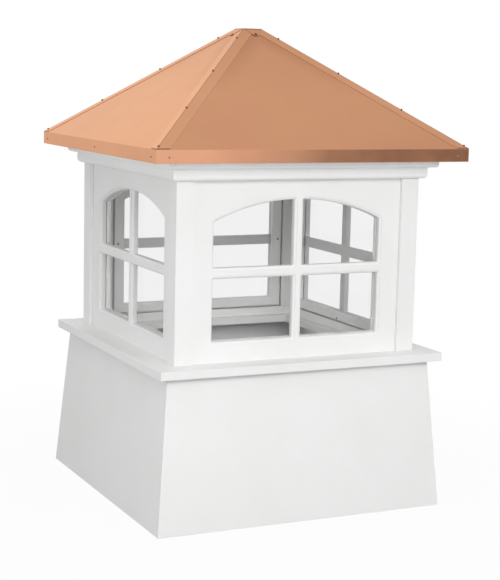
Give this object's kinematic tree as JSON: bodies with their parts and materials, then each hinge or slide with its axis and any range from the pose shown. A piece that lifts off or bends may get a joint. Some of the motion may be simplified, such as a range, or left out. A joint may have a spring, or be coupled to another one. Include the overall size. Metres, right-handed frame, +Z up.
{
  "type": "barn cupola",
  "caption": "White barn cupola with a flared base, arched windows with bars on each side, a stepped crown and a hipped copper roof with riveted hip caps.",
  "frame": {"origin": "centre of the base's lower rim, on the surface it stands on", "axes": "+Z up, front face towards -Y, right side towards +X"},
  "size_m": [0.981, 0.981, 1.4163],
  "materials": {
    "white_pvc": "smooth satin white board",
    "clear_acrylic": "clear sheet",
    "copper": "new satin copper sheet",
    "plywood": "bare plywood"
  },
  "bodies": {
    "root": {"front_base_panel": "white_pvc", "right_base_panel": "white_pvc", "back_base_panel": "white_pvc", "left_base_panel": "white_pvc", "front_sill": "white_pvc", "right_sill": "white_pvc", "back_sill": "white_pvc", "left_sill": "white_pvc", "front_window_panel": "white_pvc", "right_window_panel": "white_pvc", "back_window_panel": "white_pvc", "left_window_panel": "white_pvc", "front_pane": "clear_acrylic", "right_pane": "clear_acrylic", "back_pane": "clear_acrylic", "left_pane": "clear_acrylic", "front_inner_frame": "white_pvc", "right_inner_frame": "white_pvc", "back_inner_frame": "white_pvc", "left_inner_frame": "white_pvc", "front_left_post": "white_pvc", "front_right_post": "white_pvc", "back_right_post": "white_pvc", "back_left_post": "white_pvc", "front_cleat": "white_pvc", "right_cleat": "white_pvc", "back_cleat": "white_pvc", "left_cleat": "white_pvc", "front_crown": "white_pvc", "right_crown": "white_pvc", "back_crown": "white_pvc", "left_crown": "white_pvc", "front_soffit": "white_pvc", "right_soffit": "white_pvc", "back_soffit": "white_pvc", "left_soffit": "white_pvc", "front_roof_deck": "plywood", "right_roof_deck": "plywood", "back_roof_deck": "plywood", "left_roof_deck": "plywood", "front_roof_sheet": "copper", "right_roof_sheet": "copper", "back_roof_sheet": "copper", "left_roof_sheet": "copper", "front_left_hip_cap": "copper", "front_right_hip_cap": "copper", "back_right_hip_cap": "copper", "back_left_hip_cap": "copper", "peak_cap": "copper"}
  },
  "joints": []
}
